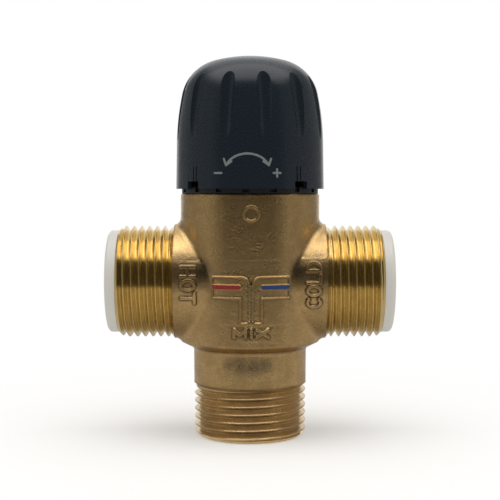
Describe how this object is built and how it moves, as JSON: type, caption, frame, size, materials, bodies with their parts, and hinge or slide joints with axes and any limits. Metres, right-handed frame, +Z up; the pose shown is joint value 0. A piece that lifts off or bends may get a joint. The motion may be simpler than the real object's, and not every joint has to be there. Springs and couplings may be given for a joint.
{
  "type": "thermostatic mixing valve",
  "caption": "Brass tee-shaped mixing valve with male threaded ports, push-in check valves and a domed fluted black temperature knob.",
  "frame": {"origin": "centre of the outlet's end face, on which the valve stands", "axes": "+Z up along the spindle towards the knob, +X towards the cold inlet, -Y towards the marked front"},
  "size_m": [0.084, 0.044, 0.1128],
  "materials": {
    "cast_brass": "fine sand-cast skin, machined threads and faces",
    "turned_brass": "turned, fine tool marks",
    "knob_plastic": "moulded, satin",
    "ring_plastic": "moulded, matt",
    "white_plastic": "moulded, satin",
    "spool_plastic": "glass-filled moulding, matt",
    "copper": "drawn, bright",
    "stainless": "drawn or stamped, bright",
    "seal_rubber": "moulded, matt"
  },
  "bodies": {
    "valve": {"valve_body": "cast_brass", "bonnet": "turned_brass", "bonnet_o_ring": "seal_rubber", "index_ring": "ring_plastic", "spool_o_ring": "seal_rubber", "return_spring": "stainless", "return_spring_seat": "spool_plastic", "seat_circlip": "stainless", "hot_check_cage": "white_plastic", "hot_check_o_ring": "seal_rubber", "hot_check_guide": "white_plastic", "hot_check_spring": "stainless", "cold_check_cage": "white_plastic", "cold_check_o_ring": "seal_rubber", "cold_check_guide": "white_plastic", "cold_check_spring": "stainless"},
    "spindle": {"adjusting_spindle": "turned_brass", "spindle_o_rings": "seal_rubber", "spindle_circlip": "stainless"},
    "knob": {"knob": "knob_plastic"},
    "adjuster": {"adjusting_nut": "turned_brass", "nut_circlip": "stainless", "overload_plate": "stainless", "overload_spring": "stainless", "thermostat_piston": "stainless"},
    "thermostat": {"thermostat_capsule": "copper", "mixing_spool": "spool_plastic"},
    "hot_poppet": {"hot_check_poppet": "white_plastic", "hot_check_poppet_seal": "seal_rubber"},
    "cold_poppet": {"cold_check_poppet": "white_plastic", "cold_check_poppet_seal": "seal_rubber"}
  },
  "joints": [
    {"name": "knob_turn", "type": "hinge", "parent": "valve", "child": "spindle", "pos_m": [0, 0, 0.09], "axis": [0, 0, 1], "range_deg": [-270, 270]},
    {"name": "adjuster_slide", "type": "slide", "parent": "valve", "child": "adjuster", "axis": [0, 0, 1], "range_m": [-0.00075, 0.00075], "deforming": ["return_spring"]},
    {"name": "thermal_stroke", "type": "slide", "parent": "adjuster", "child": "thermostat", "axis": [0, 0, -1], "range_m": [-0.0006, 0.0006], "stiffness_N_per_m": 3000, "deforming": ["return_spring"]},
    {"name": "knob_lift", "type": "slide", "parent": "spindle", "child": "knob", "axis": [0, 0, 1], "range_m": [-0.0012, 0.008]},
    {"name": "hot_check_lift", "type": "slide", "parent": "valve", "child": "hot_poppet", "axis": [1, 0, 0], "range_m": [0, 0.0026], "stiffness_N_per_m": 120, "springref_m": -0.002, "deforming": ["hot_check_spring"]},
    {"name": "cold_check_lift", "type": "slide", "parent": "valve", "child": "cold_poppet", "axis": [-1, 0, 0], "range_m": [0, 0.0026], "stiffness_N_per_m": 120, "springref_m": -0.002, "deforming": ["cold_check_spring"]}
  ],
  "couplings": [
    {"joint": "adjuster_slide", "follows": "knob_turn", "m_per_rad": 0.00015915}
  ]
}
